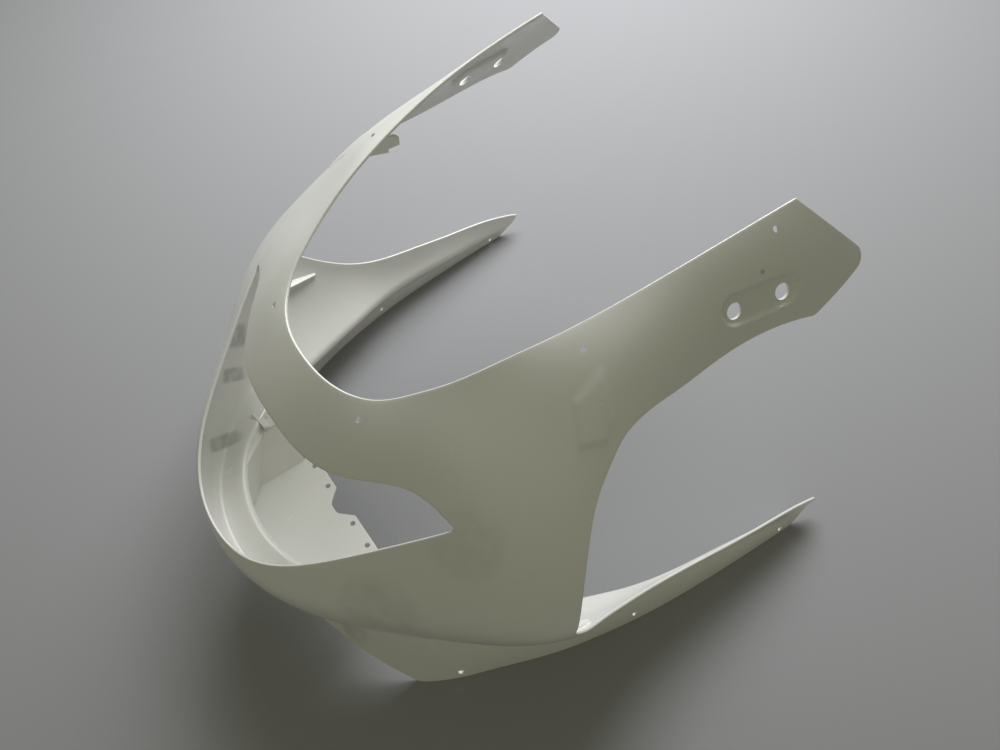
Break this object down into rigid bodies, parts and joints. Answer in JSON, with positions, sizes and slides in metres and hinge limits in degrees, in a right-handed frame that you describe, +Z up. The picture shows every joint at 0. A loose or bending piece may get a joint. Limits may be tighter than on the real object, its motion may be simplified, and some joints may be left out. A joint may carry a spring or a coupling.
{
  "type": "motorcycle fairing",
  "caption": "Front upper fairing shell of a sport motorcycle in bare ivory ABS, with a wide headlight opening, a windscreen edge, mirror arms and lower arms.",
  "frame": {"origin": "on the ground under the middle of the part's outer box", "axes": "+Z up, nose towards -Y, +X towards the rider's left"},
  "size_m": [0.56, 0.56, 0.378],
  "materials": {
    "abs": "bare moulded gloss, unpainted"
  },
  "bodies": {
    "root": {"fairing_shell": "abs"}
  },
  "joints": []
}
